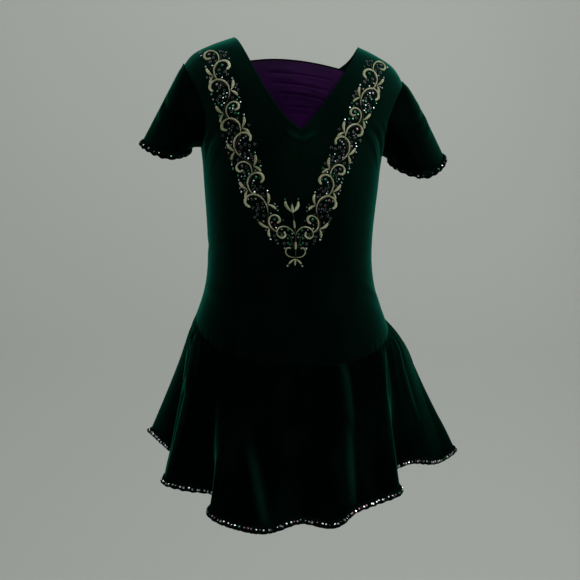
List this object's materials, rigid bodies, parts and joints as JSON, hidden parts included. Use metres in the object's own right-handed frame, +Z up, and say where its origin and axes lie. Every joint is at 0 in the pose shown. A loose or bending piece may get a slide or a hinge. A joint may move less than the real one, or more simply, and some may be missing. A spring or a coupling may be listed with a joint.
{
  "type": "short-sleeved velvet dance dress",
  "caption": "Child's green velvet dance dress, worn form: V neck with pleated purple inset, gold scroll applique, short sleeves and a flared short skirt with a stone-set hem.",
  "frame": {"origin": "on the shoulder line and on the body's axis, between the two neck points, where the wearer's shoulders carry the dress", "axes": "+Z up, the front faces -Y, +X towards the wearer's left"},
  "size_m": [0.4151, 0.3532, 0.586],
  "materials": {
    "green_velvet": "stretch velvet, near black face-on and green at its edges",
    "purple_stretch": "satin-faced stretch knit",
    "dark_binding": "rolled stretch binding",
    "gold_thread": "pale gold satin stitch"
  },
  "bodies": {
    "root": {"bodice_front": "green_velvet", "bodice_back": "green_velvet", "neck_inset": "purple_stretch", "inset_binding": "dark_binding", "applique": "gold_thread", "sleeve_left": "green_velvet", "sleeve_right": "green_velvet", "cuff_binding_left": "dark_binding", "cuff_binding_right": "dark_binding", "skirt_front": "green_velvet", "skirt_back": "green_velvet", "hem_binding": "dark_binding"}
  },
  "joints": []
}
